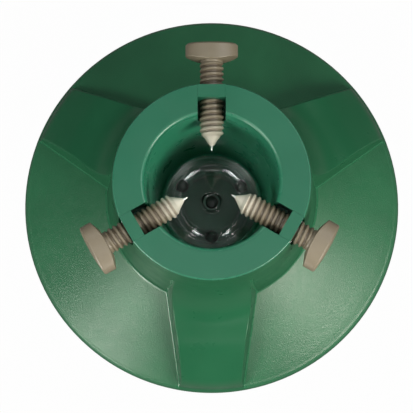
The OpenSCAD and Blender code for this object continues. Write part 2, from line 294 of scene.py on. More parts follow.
# %% [markdown]
# ## Green plastic, textured, smooth, and glossy with painted highlights
#
# The panels between the ribs carry a fine leather-like grain that scatters the key lamp into a
# speckled sheen. Ribs, neck and collar came off smooth steel, so they look darker and deeper. The
# creases at the ribs' feet, the foot of the neck and the edges of the collar are glossier and are
# painted lighter as highlights, and the inner wall of the well, the collar's own plastic, is
# painted lighter than the collar as light.

# %% The green finishes
GREEN = (0.0171, 0.131, 0.0576)
PANEL_GREEN = (0.0240, 0.155, 0.068)
COLLAR_GREEN = (0.0207, 0.154, 0.0871)
plastic_ior = 1.49


def moulded(name, color, roughness, sheen=0.5, grain_scale=260.0, grain_depth=0.00004,
            mottling=0.05):
    """Plastic with faint flow marks in its colour and a grain in its surface."""
    material, shader, tree = new_material(name, color, roughness, IOR=plastic_ior,
                                          Specular_IOR_Level=sheen)
    flow = noise(tree, 9.0, detail=4.0, distortion=0.6)
    tree.links.new(ramp(tree, flow, tint(color, 1 - mottling), tint(color, 1 + mottling)),
                   shader.inputs["Base Color"])
    grain = noise(tree, grain_scale, detail=2.0)
    dull = noise(tree, grain_scale * 0.12)
    tree.links.new(spread(tree, dull, roughness - 0.05, roughness + 0.06),
                   shader.inputs["Roughness"])
    tree.links.new(bump(tree, grain, grain_depth), shader.inputs["Normal"])
    return material


panel_green = moulded("panel_green", PANEL_GREEN, 0.36, 0.9, grain_scale=900.0,
                      grain_depth=0.00030, mottling=0.10)
smooth_green = moulded("smooth_green", tint(GREEN, 0.95), 0.32, 0.43)
# Painted highlight: the creases and the foot of the neck's fillet are set lighter as well as
# glossier.
highlight_green = moulded("highlight_green", tint(GREEN, 1.3), 0.26, 0.95)
collar_green = moulded("collar_green", COLLAR_GREEN, 0.33, 0.47)
# Painted highlight: the lip and the collar's outer edge are set lighter as well as glossier.
lip_highlight_green = moulded("lip_highlight_green", tint(COLLAR_GREEN, 1.3), 0.27, 0.85, grain_depth=0.00003)
# Painted light: the well's inner wall is the collar's plastic, set twice as light so the deep wall
# looks lit.
well_painted_light_green = moulded("well_painted_light_green", tint(COLLAR_GREEN, 2.0), 0.30, 0.6)
skirt_greens = (smooth_green, panel_green, highlight_green)
collar_greens = (collar_green, well_painted_light_green, lip_highlight_green)
print("greens", [green.name for green in skirt_greens + collar_greens])

# %% [markdown]
# ## Screw plastic, steel, dark trim and clear plastic
#
# The screws are a warm grey plastic with a dull sheen. Each is paler towards its nose, and the
# grooves of its thread are painted darker than the crests as shade. The three screws' colours
# differ as painted light. The points are bright steel, the turntable is clear styrene, and the
# balls and the pin are almost black.

# %% The other finishes
# The body and nose colours differ from screw to screw as painted light: each screw's pair is set
# lighter or darker for the light that reaches it.
BODIES = ((0.205, 0.177, 0.124), (0.236, 0.200, 0.141), (0.241, 0.203, 0.142))
NOSES = ((0.43, 0.417, 0.343), (0.82, 0.795, 0.68), (0.90, 0.86, 0.73))
groove_shade_tint, dark_flow, full_tint = (0.50, 0.46, 0.42), (0.90, 0.90, 0.90), (1.06, 1.06, 1.06)


def screw_plastic(name, body, nose):
    """Warm grey plastic that pales along the screw, from the handle to the nose, with painted shade
    in its grooves.
    """
    material, shader, tree = new_material(name, body, 0.40, IOR=plastic_ior,
                                          Specular_IOR_Level=0.85)
    # Paler towards the nose; the different paleness of the three noses is painted light.
    nose_paling_and_light = ramp(tree, attribute(tree, "along"), nose, body, 0.10, 0.30)
    flow = ramp(tree, noise(tree, 30.0, detail=4.0, distortion=0.6), dark_flow, full_tint)
    # Painted shade: the thread's grooves are darker than its crests.
    crests = ramp(tree, attribute(tree, "thread_shading"), groove_shade_tint, full_tint, 0.05, 0.85)
    tree.links.new(times(tree, times(tree, nose_paling_and_light, flow), crests), shader.inputs["Base Color"])
    tree.links.new(spread(tree, noise(tree, 50.0), 0.35, 0.46), shader.inputs["Roughness"])
    tree.links.new(bump(tree, noise(tree, 420.0, detail=2.0), 0.00006), shader.inputs["Normal"])
    return material


screw_taupes = [screw_plastic(f"screw_taupe_{n + 1}", BODIES[n], NOSES[n]) for n in range(3)]
dark_trim = moulded("dark_trim", (0.018, 0.024, 0.021), 0.30, grain_scale=300.0,
                    grain_depth=0.00002)


def steel(name, color, roughness):
    """Steel with a fine wear in its sheen."""
    material, shader, tree = new_material(name, color, roughness, Metallic=1.0)
    scratch = noise(tree, 900.0, detail=2.0)
    tree.links.new(spread(tree, scratch, roughness - 0.06, roughness + 0.10),
                   shader.inputs["Roughness"])
    tree.links.new(bump(tree, scratch, 0.00002), shader.inputs["Normal"])
    return material


bright_steel = steel("bright_steel", (0.95, 0.95, 0.93), 0.34)


def clear_plastic():
    """Clear styrene, a little grey-green in its depth, with a soft moulded ripple."""
    material, shader, tree = new_material("clear_plastic", (0.86, 0.92, 0.90), 0.06,
                                          IOR=1.59, Transmission_Weight=1.0)
    ripple = noise(tree, 55.0, detail=2.0)
    tree.links.new(bump(tree, ripple, 0.00004), shader.inputs["Normal"])
    return material


clear_styrene = clear_plastic()
print("finishes", [m.name for m in bpy.data.materials])

# %% [markdown]
# ## From rows of points to meshes
#
# Most parts of a moulding are rings of points joined row by row. A grid is an array of rows, each
# a ring round the part. Two helpers make a closed mesh from it: one joins the last row back to
# the first, for a shell with a hollow, and the other closes each end on the axis.

# %% Helpers for curves and grids
def bend(a, b, c, steps):
    """Points along a curve that leaves a towards b and arrives at c from b."""
    t = np.linspace(0.0, 1.0, steps + 1)[:, None]
    a, b, c = np.array(a, float), np.array(b, float), np.array(c, float)
    return (1 - t) ** 2 * a + 2 * t * (1 - t) * b + t ** 2 * c


def line(a, b, steps):
    """Points along a straight line, both ends included."""
    t = np.linspace(0.0, 1.0, steps + 1)[:, None]
    return (1 - t) * np.array(a, float) + t * np.array(b, float)


def chain(*paths):
    """Joins paths end to end and drops points that repeat."""
    points = np.concatenate([np.atleast_2d(np.array(p, float)) for p in paths])
    steps = np.linalg.norm(np.diff(points, axis=0), axis=1)
    return points[np.concatenate([[True], steps > 1e-6])]


def even(path, count):
    """The path as count points at equal distances."""
    steps = np.linalg.norm(np.diff(path, axis=0), axis=1)
    run = np.concatenate([[0.0], np.cumsum(steps)])
    wanted = np.linspace(0.0, 1.0, count) * run[-1]
    return np.stack([np.interp(wanted, run, values) for values in path.T], axis=1)


def round_angles(count):
    """Angles of the points of a full ring."""
    return np.linspace(0.0, 2 * math.pi, count, endpoint=False)


def ring_of(angles, radius, z):
    """A ring of points about Z. Its radius and its height may vary with the angle."""
    return np.stack([radius * np.cos(angles), radius * np.sin(angles), z + 0.0 * angles], axis=1)


def mesh_from(name, points, faces):
    """A mesh object from points in millimetres, with its faces turned outwards."""
    mesh = bpy.data.meshes.new(name)
    mesh.from_pydata([tuple(p * MM) for p in points], [], faces)
    work = bmesh.new()
    work.from_mesh(mesh)
    bmesh.ops.recalc_face_normals(work, faces=work.faces)
    work.to_mesh(mesh)
    work.free()
    made = bpy.data.objects.new(name, mesh)
    scene.collection.objects.link(made)
    return made


def ring_faces(rows, columns, closed_rows):
    """Quads between neighbouring rings of points."""
    faces = []
    for j in range(rows if closed_rows else rows - 1):
        k = (j + 1) % rows
        for i in range(columns):
            n = (i + 1) % columns
            faces.append((j * columns + i, j * columns + n, k * columns + n, k * columns + i))
    return faces


def capped(name, grid):
    """A closed mesh from rings of points, with one point on the middle of each end ring."""
    rows, columns = grid.shape[:2]
    points = np.concatenate([grid.reshape(-1, 3), grid[0].mean(0)[None], grid[-1].mean(0)[None]])
    faces = ring_faces(rows, columns, False)
    first, last = rows * columns, rows * columns + 1
    for i in range(columns):
        n = (i + 1) % columns
        faces.append((first, n, i))
        faces.append((last, (rows - 1) * columns + i, (rows - 1) * columns + n))
    return mesh_from(name, points, faces)


def turned(name, path, columns=144):
    """A solid of revolution about Z: a path of radii and heights, closed or from axis to axis."""
    inner = path[1:-1] if path[0][0] < 1e-6 and path[-1][0] < 1e-6 else path
    grid = np.stack([ring_of(round_angles(columns), r, z) for r, z in inner])
    if len(inner) == len(path):
        rows = len(path)
        return mesh_from(name, grid.reshape(-1, 3), ring_faces(rows, columns, True))
    return capped(name, grid)


# %% [markdown]
# ## Cutting and joining solids
#
# Slots, bores and bosses are cut or joined with Blender's exact boolean, and the result is applied
# at once, so that every piece ends as one plain closed mesh.

# %% Helpers for solids
def applied(piece):
    """Replaces a piece's mesh with what its modifiers make of it."""
    graph = bpy.context.evaluated_depsgraph_get()
    graph.update()
    made = bpy.data.meshes.new_from_object(
        piece.evaluated_get(graph), preserve_all_data_layers=True, depsgraph=graph)
    piece.modifiers.clear()
    old = piece.data
    piece.data = made
    bpy.data.meshes.remove(old)
    return piece


def combine(piece, other, operation):
    """Cuts other from piece, or joins it on, and deletes other."""
    modifier = piece.modifiers.new("solid", "BOOLEAN")
    modifier.operation = operation
    modifier.solver = "EXACT"
    modifier.object = other
    applied(piece)
    bpy.data.objects.remove(other)
    return piece


def turn_about_z(piece, degrees):
    """Turns a piece's mesh about the stand's axis."""
    piece.data.transform(Matrix.Rotation(math.radians(degrees), 4, "Z"))
    return piece


def block(name, low, high):
    """A box between two corners, as a tool for cutting or joining."""
    (x0, y0, z0), (x1, y1, z1) = low, high
    ring = [(x0, y0), (x1, y0), (x1, y1), (x0, y1)]
    grid = np.array([[(x, y, z) for x, y in ring] for z in (z0, z1)], float)
    faces = ring_faces(2, 4, False) + [(3, 2, 1, 0), (4, 5, 6, 7)]
    return mesh_from(name, grid.reshape(-1, 3), faces)


def saddle(name, half, r0, r1, top, columns=24):
    """A bar along +X that is round below the screws' axis and open to the given height above it."""
    turns = np.linspace(math.pi, 2 * math.pi, columns + 1)
    outline = [(half * math.cos(t), bolt_z + half * math.sin(t)) for t in turns]
    outline += [(half, top), (-half, top)]
    count = len(outline)
    points = np.array([(r, y, z) for r in (r0, r1) for y, z in outline], float)
    faces = ring_faces(2, count, False) + [tuple(range(count)), tuple(range(count, 2 * count))]
    return mesh_from(name, points, faces)


def smooth(piece, angle=32.0):
    """Smooth shading, with edges kept sharp where faces meet at more than the angle."""
    for face in piece.data.polygons:
        face.use_smooth = True
    piece.data.set_sharp_from_angle(angle=math.radians(angle))
    weighted = piece.modifiers.new("normals", "WEIGHTED_NORMAL")
    weighted.keep_sharp = True
    return applied(piece)


def place(piece, body, slot, *nodes):
    """Lets a finished piece ride on its body in place of the frame's nodes."""
    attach(piece, body)
    if nodes:
        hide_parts(*nodes)
    print(f"{piece.name}: {len(piece.data.vertices)} points, {len(piece.data.polygons)} faces")
    return piece


# %% [markdown]
# ## The skirt
#
# On the real stand the skirt, its ribs and the neck are one injection moulding. A rib rises from
# the cone with leaning sides, runs out with a bend in its back, and sweeps up the neck inside.
# It could be cut together from simple solids, but then every fillet would be a guess. Here each
# column of points follows a real line of the moulding: the crease at a rib's foot, the side, the
# rounded edge and the back, so each fillet is drawn exactly where the tool had it.

# %% Lines of the moulding, as radii and heights
def neck_r(z):
    """Outer radius of the neck at a height."""
    share = (z - neck_foot_z) / (neck_top_z - neck_foot_z)
    return neck_foot_r + (neck_top_r - neck_foot_r) * share


def cone_z(r):
    """Height of the skirt at a radius: a cone with a slight crown."""
    share = (r - neck_foot_r) / (shoulder_r - neck_foot_r)
    return neck_foot_z + (shoulder_z - neck_foot_z) * share + 4 * crown * share * (1 - share)


rib_bend_z = 70.76
rim_turn_r = base_r - 6.5
rib_foot_r = base_r - 2.4
rim_curve = bend((rim_turn_r, cone_z(rim_turn_r)), (base_r - 2.2, cone_z(base_r - 4.5)),
                 (base_r, 4.0), 24)


def skirt_z(r):
    """Height of the skirt with its rounded rim."""
    return np.where(r < rim_turn_r, cone_z(r), np.interp(r, rim_curve[:, 0], rim_curve[:, 1]))


def ridge_z(d):
    """Height of a rib's back, a straight fall on each side of the bend."""
    fall = np.where(d > rib_bend_r, math.tan(rib_fall_out), math.tan(rib_fall_in))
    return rib_bend_z - (d - rib_bend_r) * fall


def on_neck(z):
    """The point of the neck's line at a height."""
    return neck_r(z), z


def on_cone(r):
    """The point of the skirt's line at a radius."""
    return r, cone_z(r)


def on_ridge(d):
    """The point of a rib's back at a distance from the axis."""
    return d, ridge_z(d)


# %% Stations down the panels and down a rib's back
neck_rows, sweep_rows, fillet_rows, back_rows, end_rows = 4, 13, 7, 22, 12
neck_fillet, end_zone_r = 3.0, 214.0
fillet_top, fillet_end = on_neck(neck_foot_z + neck_fillet), on_cone(neck_foot_r + neck_fillet)
panel_path = [
    line(on_neck(neck_top_z), on_neck(sweep_top_z), neck_rows),
    line(on_neck(sweep_top_z), fillet_top, sweep_rows),
    bend(fillet_top, (neck_foot_r, neck_foot_z), fillet_end, fillet_rows),
    line(fillet_end, on_cone(end_zone_r), back_rows),
]
end_radii = np.linspace(end_zone_r, rib_foot_r, end_rows + 1)
panel_path.append(np.stack([end_radii, skirt_z(end_radii)], axis=1))
panel_rows = np.concatenate([panel_path[0]] + [p[1:] for p in panel_path[1:]])

bend_half = 10.0
sweep_r = neck_foot_r + 28.0
end_r, end_mid_z = base_r - 5.0, 15.0
end_turn = on_ridge(end_r - 3.0)
end_start = end_turn[0] - 7.0
sweep = bend(on_neck(sweep_top_z), (neck_foot_r - 2.0, ridge_z(neck_foot_r - 9.0)),
             on_ridge(sweep_r), 60)
back = chain([on_ridge(sweep_r)],
             bend(on_ridge(rib_bend_r - bend_half), (rib_bend_r, rib_bend_z),
                  on_ridge(rib_bend_r + bend_half), 20),
             [on_ridge(end_start)])
tail = chain(bend(on_ridge(end_start), end_turn, (end_r, end_mid_z), 20),
             bend((end_r, end_mid_z), (end_r + 0.2, skirt_z(end_r)),
                  (rib_foot_r, skirt_z(rib_foot_r)), 8))
rib_rows = np.concatenate([panel_path[0], even(sweep, sweep_rows + fillet_rows + 1)[1:],
                           even(back, back_rows + 1)[1:], even(tail, end_rows + 1)[1:]])
print("stations", len(panel_rows), len(rib_rows))

# %% [markdown]
# A rib's side is one leaning plane. Where it meets a ring of the moulding is found from the angle
# at which the ring crosses that plane. The back is round near the neck and the rim, but straight
# across in between, so each row blends between an arc and a straight line.

# %% Where a rib's side crosses each row
def side_reach(z):
    """Distance of a rib's side plane from the axis, along its own direction, at a height."""
    reach = rib_half_w * math.cos(rib_taper) + neck_foot_r * math.sin(rib_taper)
    return reach - math.tan(rib_draft) * (z - neck_foot_z)


def crossing(r, z, straight):
    """Angle from a rib's middle at which a row of its back meets its side."""
    low, high = 0.0, 0.9
    for _ in range(40):
        angle = (low + high) / 2
        reach = r * (straight / math.cos(angle) + 1 - straight)
        inside = reach * math.sin(angle + rib_taper) < side_reach(z)
        low, high = (angle, high) if inside else (low, angle)
    return low


def fade(value, start, stop):
    """0 before start, 1 after stop, smooth between."""
    t = np.clip((value - start) / (stop - start), 0.0, 1.0)
    return t * t * (3 - 2 * t)


row_count = len(rib_rows)
straightness = fade(rib_rows[:, 0], sweep_r - 14.0, sweep_r + 16.0)
straightness = straightness * (1 - fade(rib_rows[:, 0], end_start - 16.0, end_start + 6.0))
first_rib_row, last_rib_row = neck_rows, row_count - 1
tip_gap, end_gap = math.radians(1.3), math.radians(0.8)
rows_index = np.arange(row_count)
gap = tip_gap * (1 - fade(rows_index, first_rib_row, first_rib_row + 6))
gap = gap + end_gap * fade(rows_index, last_rib_row - 5, last_rib_row)

# %% Columns of one half of a rib and its panel
edge_reach, crease_reach, most_cut = 1.8, 2.0, 0.35
back_columns, round_columns, side_columns, panel_columns = 12, 6, 4, 18


def polar(angle, r, z):
    """Point at an angle from a rib's middle."""
    return np.array([r * math.cos(angle), r * math.sin(angle), z])


def half_row(j):
    """One row from the middle of a rib's back to the middle of the next panel."""
    d, z = rib_rows[j]
    r, low_z = panel_rows[j]
    if j < first_rib_row:
        d, z = rib_rows[first_rib_row]
    edge = crossing(d, z, straightness[j]) - gap[j]
    if j < first_rib_row:
        d, z = r, low_z
        crease = edge + 2 * gap[j]
    else:
        crease = crossing(r, low_z, 0.0) + gap[j]

    def on_back(angle):
        return polar(angle, d * (straightness[j] / math.cos(angle) + 1 - straightness[j]), z)

    top, foot = on_back(edge), polar(crease, r, low_z)
    height = np.linalg.norm(top - foot)
    edge_cut = min(edge_reach, most_cut * height)
    crease_cut = min(crease_reach, most_cut * height)
    down = (foot - top) / height
    edge_foot, crease_top = top + down * edge_cut, foot - down * crease_cut
    back_end = edge - edge_cut / d
    panel_start = crease + crease_cut / r
    row = [on_back(a) for a in np.linspace(0.0, back_end, back_columns + 1)]
    row += list(bend(on_back(back_end), top, edge_foot, round_columns)[1:])
    row += list(line(edge_foot, crease_top, side_columns)[1:])
    row += list(bend(crease_top, foot, polar(panel_start, r, low_z), round_columns)[1:])
    panel_angles = np.linspace(panel_start, math.pi / 3, panel_columns + 1)[1:]
    row += [polar(a, r, low_z) for a in panel_angles]
    return np.array(row)


def ring_at(ring, r, z):
    """A ring of points moved out or in to one radius, at one height."""
    moved = ring.copy()
    moved[:, :2] *= (r / np.linalg.norm(ring[:, :2], axis=1))[:, None]
    moved[:, 2] = z
    return moved


half = np.stack([half_row(j) for j in range(row_count)])
rim_path = chain([(rib_foot_r, float(skirt_z(rib_foot_r)))],
                 [p for p in rim_curve if p[0] > rib_foot_r + 0.2],
                 [(base_r, 0.8), (base_r - 0.8, 0.0)])
half = np.concatenate([half, np.stack([ring_at(half[-1], r, z) for r, z in rim_path[1:]])])
print("half sector", half.shape)

# %% Three ribs all round, and the inside of the wall
mirrored = half[:, ::-1] * np.array([1, -1, 1])
sector = np.concatenate([mirrored[:, :-1], half[:, :-1]], axis=1)


def rotated(points, degrees):
    """Points turned about the stand's axis."""
    a = math.radians(degrees)
    turn = np.array([[math.cos(a), math.sin(a), 0], [-math.sin(a), math.cos(a), 0], [0, 0, 1]])
    return points @ turn


outside = np.concatenate([rotated(sector, a) for a in rib_angles], axis=1)


def outward(grid):
    """Unit normals of a grid whose rows run down and whose columns run round."""
    down = np.gradient(grid, axis=0)
    along = (np.roll(grid, -1, axis=1) - np.roll(grid, 1, axis=1)) / 2
    normal = np.cross(down, along)
    return normal / np.linalg.norm(normal, axis=2, keepdims=True)


inside_rows = row_count + 6
inside = (outside - wall * outward(outside))[:inside_rows]
inside[0, :, 2] = neck_top_z
foot_in_r = base_r - 12.0
foot_path = [(foot_in_r + 0.5, 0.0), (foot_in_r, 0.5), (foot_in_r, wall - 0.5),
             (foot_in_r + 0.5, wall), (foot_in_r + 5.0, wall)]
foot = np.stack([ring_at(outside[-1], r, z) for r, z in foot_path])
shell_grid = np.concatenate([outside, foot, inside[::-1]])
rows, columns = shell_grid.shape[:2]
skirt = mesh_from("stand_skirt", shell_grid.reshape(-1, 3), ring_faces(rows, columns, True))
for green in skirt_greens:
    skirt.data.materials.append(green)
print("skirt grid", rows, columns)

# %% [markdown]
# The grain is only on the panels. A face belongs to a panel if it lies outside the ribs' creases
# and below the neck's fillet. The creases and the lower part of that fillet are glossier and
# painted lighter as a highlight.

# %% Grain on the panels, gloss and painted highlight in the creases
half_columns = half.shape[1] - 1
crease_column = back_columns + 2 * round_columns + side_columns
grain_first_row = neck_rows + sweep_rows + fillet_rows
grain_last_row = row_count + 2
highlight_first_row = grain_first_row - 3
GRAINED, HIGHLIGHTED = 1, 2
for index, face in enumerate(skirt.data.polygons):
    row, column = divmod(index, columns)
    from_middle = abs((column % (2 * half_columns)) + 0.5 - half_columns)
    on_panel = from_middle > crease_column
    in_crease = crease_column - round_columns < from_middle < crease_column
    if on_panel and grain_first_row <= row < grain_last_row:
        face.material_index = GRAINED
    elif on_panel and highlight_first_row <= row < grain_first_row:
        face.material_index = HIGHLIGHTED
    elif in_crease and first_rib_row < row < row_count:
        face.material_index = HIGHLIGHTED
print("grained faces", sum(f.material_index == GRAINED for f in skirt.data.polygons))

# %% Windows for the screws, and the bosses inside the neck
screw_ring_r = neck_top_r - wall - 5.0
boss_top_z = neck_top_z - 10.0
boss_foot_z = boss_top_z - 14.0
boss_hole_r, boss_r, web_half, web_level_z = 2.2, 5.0, 1.5, 178.0
web_in_r, web_out_r = screw_ring_r + 4.0, neck_r(web_level_z) - wall / 2
boss_path = np.array([(boss_hole_r, boss_foot_z), (boss_r, boss_foot_z), (boss_r, boss_top_z),
                      (boss_hole_r, boss_top_z)])
for angle in range(0, 360, 60):
    tube = turned("boss", boss_path, 32)
    tube.data.transform(Matrix.Translation((screw_ring_r * MM, 0, 0)))
    web = block("web", (web_in_r, -web_half, boss_foot_z), (web_out_r, web_half, boss_top_z))
    combine(tube, web, "UNION")
    combine(skirt, turn_about_z(tube, angle), "UNION")
window_half, window_in_r, window_out_r = slot_half + 0.25, 80.0, neck_foot_r + 10.0
for angle in bolt_angles:
    window = saddle("window", window_half, window_in_r, window_out_r, stand_h)
    combine(skirt, turn_about_z(window, angle), "DIFFERENCE")
place(smooth(skirt, 40.0), "stand", "skirt", "base_shell")

# %% [markdown]
# ## The well and its collar
#
# The bucket is turned in one sweep: outside wall, collar with a soft outer edge, rounded lip,
# inside wall, floor with the ball groove, and the boss for the pivot. The slots for the screws are
# then cut through the collar, and cheeks and shelves for the nut blocks are joined on below.

# %% The bucket's outline
lip, edge_round = 5.2, 2.0
groove_r, groove_z, race_r = 7.8, 14.15, 41.3
throat_z = stand_h - lip - 7.0
under_z = well_floor_z - 4.5
hub_z, pin_hole_r, pin_foot_z = 11.7, 4.05, well_floor_z - 2.5
well_out_r = mouth_r + 3.0


def groove(floor_z, steps):
    """The floor's round groove for the balls, from outside to inside."""
    edge = math.asin((groove_z - floor_z) / groove_r)
    turns = np.linspace(-edge, -math.pi + edge, steps)
    return [(race_r + groove_r * math.cos(t), groove_z + groove_r * math.sin(t)) for t in turns]


well_path = chain(
    [(0, under_z), (48.0, under_z), (48.4, 0.4), (48.8, 0.0), (55.2, 0.0), (55.6, 0.4),
     (56.0, under_z)],
    bend((well_foot_r - 2, under_z), (well_foot_r + 2.0, under_z),
         (well_foot_r + 3.2, well_floor_z + 3), 8),
    [(well_out_r, throat_z)],
    bend((well_out_r, neck_top_z - 3.0), (well_out_r, neck_top_z),
         (well_out_r + 3.0, neck_top_z), 6),
    [(collar_r - 0.5, neck_top_z)],
    bend((collar_r, neck_top_z + 0.5), (collar_r, stand_h), (collar_r - edge_round, stand_h), 10),
    [(0.5 * (collar_r + mouth_r), stand_h)],
    bend((mouth_r + lip, stand_h), (mouth_r, stand_h), (mouth_r, stand_h - lip), 12),
    line((mouth_r, throat_z), (well_foot_r + 0.4, well_floor_z + 6.0), 24),
    bend((well_foot_r + 0.4, well_floor_z + 6.0), (well_foot_r, well_floor_z),
         (well_foot_r - 6.0, well_floor_z), 8),
    groove(well_floor_z, 20),
    [(8.0, well_floor_z), (8.0, hub_z - 0.3), (7.7, hub_z), (pin_hole_r + 0.2, hub_z),
     (pin_hole_r, hub_z - 0.2), (pin_hole_r, pin_foot_z), (0, pin_foot_z)])
well = turned("water_bucket", well_path, 240)
print("bucket rings", len(well_path))

# %% Pockets for the nut blocks, screw bosses, and the slots
cheek_in, cheek_out = slot_half + 3.0, slot_half + 6.0
cheek_in_r, cheek_end_r = mouth_r - 2.2, 100.5
shelf_z, shelf_half = bolt_z - 22.0, cheek_in + 1
joint_z = neck_top_z + 1
for angle in bolt_angles:
    for side in (-1, 1):
        y0, y1 = sorted((side * cheek_in, side * cheek_out))
        cheek = block("cheek", (cheek_in_r, y0, shelf_z - wall), (cheek_end_r, y1, joint_z))
        combine(well, turn_about_z(cheek, angle), "UNION")
    shelf = block("shelf", (cheek_in_r + 0.4, -shelf_half, shelf_z - wall),
                  (cheek_end_r - 0.2, shelf_half, shelf_z))
    combine(well, turn_about_z(shelf, angle), "UNION")
post_r = 4.5
post_path = np.array([(0, boss_top_z), (post_r, boss_top_z), (post_r, joint_z), (0, joint_z)])
for angle in range(0, 360, 60):
    post = turned("post", post_path, 32)
    post.data.transform(Matrix.Translation((screw_ring_r * MM, 0, 0)))
    combine(well, turn_about_z(post, angle), "UNION")
for angle in bolt_angles:
    slot_tool = saddle("slot", slot_half, mouth_r - 20.0, collar_r + 1.0, stand_h + 1.0, 40)
    combine(well, turn_about_z(slot_tool, angle), "DIFFERENCE")

# %% Painted light: a lighter inner wall, and lighter, glossier edges on the collar as painted highlights
for green in collar_greens:
    well.data.materials.append(green)
outer_edge_z = stand_h - 6.0
INNER_WALL, HIGHLIGHT_EDGE = 1, 2
for face in well.data.polygons:
    x, y, z = face.center / MM
    from_axis = math.hypot(x, y)
    # Index 1 paints light into the inner wall.
    if from_axis < mouth_r + 0.01 and well_floor_z < z < stand_h - lip:
        face.material_index = INNER_WALL
    # Index 2 paints highlights on the lip and on the outer edge.
    elif from_axis < mouth_r + lip and stand_h - lip < z < stand_h - 0.1:
        face.material_index = HIGHLIGHT_EDGE
    elif from_axis > collar_r - edge_round and outer_edge_z < z < stand_h - 0.05:
        face.material_index = HIGHLIGHT_EDGE
place(smooth(well), "stand", "collar", "water_well")

# %% [markdown]
# ## Nut blocks
#
# Each block is a wide foot that sits between the cheeks and a narrower nose that fills the slot
# flush with the collar. Its bore is only a hair wider than the thread.

# %% The three nut blocks
block_in_r, block_out_r, block_nose_r = 90.9, 100.9, neck_top_r - 1.0
block_half, block_top_z, bore_r = 18.0, neck_top_z - 0.3, bolt_r + 0.05
bore_path = np.array([(0, 80.0), (bore_r, 80.0), (bore_r, 110.0), (0, 110.0)])
for number, angle in enumerate(bolt_angles, 1):
    nut = block(f"nut_bridge_{number}", (block_in_r, -block_half, shelf_z),
                (block_out_r, block_half, block_top_z))
    nose = saddle("nose", slot_half - 0.12, block_in_r + 0.01, block_nose_r, stand_h - 0.05, 40)
    combine(nut, nose, "UNION")
    bore = turned("bore", bore_path, 96)
    bore.data.transform(Matrix.Rotation(math.pi / 2, 4, "Y"))
    bore.data.transform(Matrix.Translation((0, 0, bolt_z * MM)))
    combine(nut, bore, "DIFFERENCE")
    softened = nut.modifiers.new("edges", "BEVEL")
    softened.width, softened.segments, softened.limit_method = 0.1 * MM, 1, "ANGLE"
    softened.angle_limit = math.radians(50)
    applied(nut)
    nut.data.materials.append(collar_green)
    place(smooth(turn_about_z(nut, angle)), "stand", "collar", f"nut_block_{number}")

# %% [markdown]
# ## Clamp screws
#
# A screw is drawn along +Z from its point. The thread is a true helix: the radius of each point
# depends on how far it is along the pitch for its own angle. The nose tapers to the hole of the
# steel point, and the handle is an oval disc with a coned inner face.

# %% Sizes of a screw
pitch, thread_depth = 6.0, 1.8
point_out, nose_len = 5.5, 13.5
bolt_len = 120.5
handle_r, handle_half, handle_edge, handle_cone, handle_crown = 29.0, 16.0, 13.2, 5.3, 2.0
shank_len = 2.5
handle_top = bolt_len - handle_crown
handle_base = handle_top - handle_edge - handle_cone
thread_end = handle_base - shank_len
nose_base = point_out + nose_len
point_hole_r, nose_tip_r = 1.55, 1.9
shaft_columns, handle_columns = 96, 144


def thread_height(z, angle):
    """Height of the thread over its root, 0 to 1, at a height and an angle."""
    share = (z / pitch - angle / (2 * math.pi)) % 1.0
    return fade(share, 0.10, 0.34) * (1 - fade(share, 0.62, 0.86))


def thread_growth(z):
    """How full the thread is at a height: it grows out of the nose and ends at the shank."""
    start = fade(z, nose_base - 7.0, nose_base + 3.0)
    return start * (1 - fade(z, thread_end - 2.0, thread_end + 1.0))


def screw_radius(z, angle):
    """Radius of the screw's surface at a height and an angle."""
    root = bolt_r - thread_depth
    t = np.clip((z - point_out) / nose_len, 0.0, 1.0)
    body = nose_tip_r + (root - nose_tip_r) * t
    thread = thread_depth * thread_height(z, angle) * thread_growth(z)
    shank = fade(z, thread_end - 1.0, thread_end + 1.5) * (thread_depth - 0.6)
    return body + thread * (1 - fade(z, thread_end, thread_end + 1)) + shank


# %% A screw's shaft with its helix
def screw_shaft(name):
    """The threaded shaft, with the blind hole for its steel point."""
    angles = round_angles(shaft_columns)
    hole = [(point_hole_r, point_out + nose_len - 2), (point_hole_r, point_out + 0.3),
            (point_hole_r + 0.15, point_out), (2.0, point_out)]
    heights = np.concatenate([np.linspace(point_out, nose_base, 28)[1:],
                              np.arange(nose_base + 0.5, handle_base + 1.01, 0.5)])
    rings = [ring_of(angles, r, z) for r, z in hole]
    rings += [ring_of(angles, screw_radius(z, angles), z) for z in heights]
    return capped(name, np.stack(rings))


# %% The oval handle
def oval(angle):
    """Radius of the handle's outline: a disc cut back by two wide arcs, with eased corners."""
    flank, ease = 60.0, 10.0
    shift = flank - handle_half
    across = shift * np.abs(np.cos(angle))
    arc = np.sqrt(across ** 2 + flank ** 2 - shift ** 2) - across
    return (handle_r ** -ease + arc ** -ease) ** (-1 / ease)


